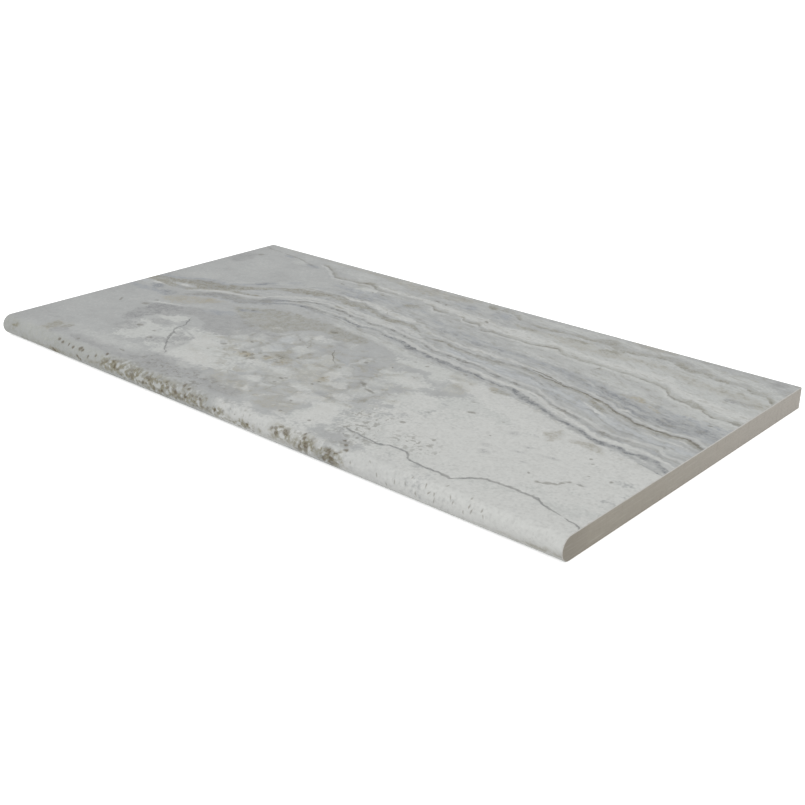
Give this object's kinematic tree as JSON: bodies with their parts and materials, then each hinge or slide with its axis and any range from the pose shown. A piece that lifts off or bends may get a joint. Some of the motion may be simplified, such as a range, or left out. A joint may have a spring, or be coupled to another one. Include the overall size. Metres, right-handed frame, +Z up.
{
  "type": "porcelain pool coping tile",
  "caption": "Flat rectangular porcelain tile with a travertine look and a full bullnose along one long edge, which caps the rim of a pool.",
  "frame": {"origin": "middle of the underside's outline, on the bed that the tile lies on", "axes": "+X along the pool edge, -Y towards the pool, +Z up through the printed face"},
  "size_m": [0.6, 0.33, 0.018],
  "materials": {
    "porcelain": "matt printed glaze in pale grey travertine veining over a sawn grey-beige body"
  },
  "bodies": {
    "root": {"coping_tile": "porcelain"}
  },
  "joints": []
}
